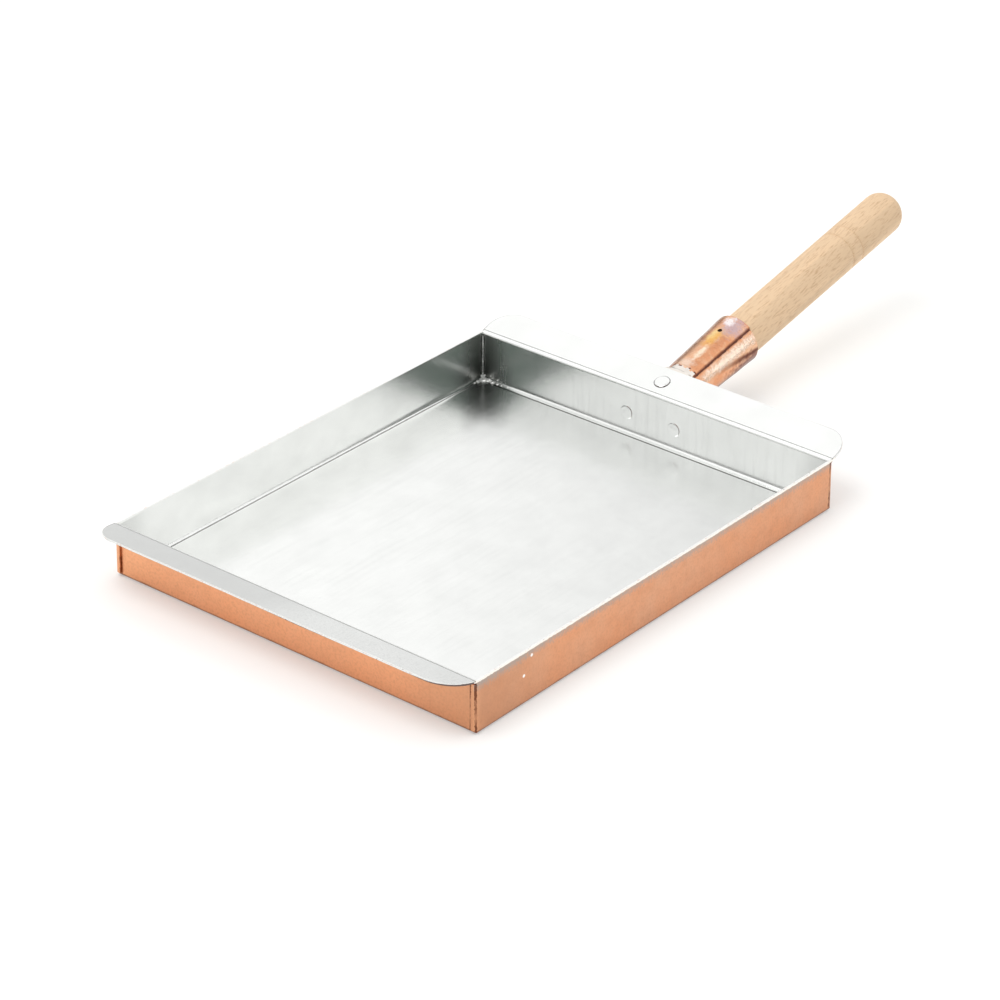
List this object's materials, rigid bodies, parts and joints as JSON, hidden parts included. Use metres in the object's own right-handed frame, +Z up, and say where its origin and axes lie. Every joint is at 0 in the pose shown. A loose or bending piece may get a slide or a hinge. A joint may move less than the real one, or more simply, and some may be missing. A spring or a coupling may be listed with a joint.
{
  "type": "tamagoyaki pan",
  "caption": "Rectangular tinned copper pan for rolled omelettes, with low walls, turned-out end flanges, and a riveted copper socket holding a beech handle.",
  "frame": {"origin": "centre of the pan's flat underside", "axes": "+X to the right across the pan, +Y along the pan towards the handle, +Z up"},
  "size_m": [0.2724, 0.609, 0.085],
  "materials": {
    "copper": "satin copper sheet",
    "tin": "wiped tin, soft shine",
    "solder": "lumpy solder, dull shine",
    "rivet": "tinned, soft shine",
    "beech": "bare turned beech",
    "nail": "dark steel"
  },
  "bodies": {
    "root": {"pan_body": "copper", "tin_lining": "tin", "corner_solder_front_left": "solder", "corner_solder_front_right": "solder", "corner_solder_rear_left": "solder", "corner_solder_rear_right": "solder", "handle_socket": "copper", "flange_rivet": "rivet", "wall_rivet_left": "rivet", "wall_rivet_right": "rivet", "handle": "beech", "handle_nail": "nail"}
  },
  "joints": []
}
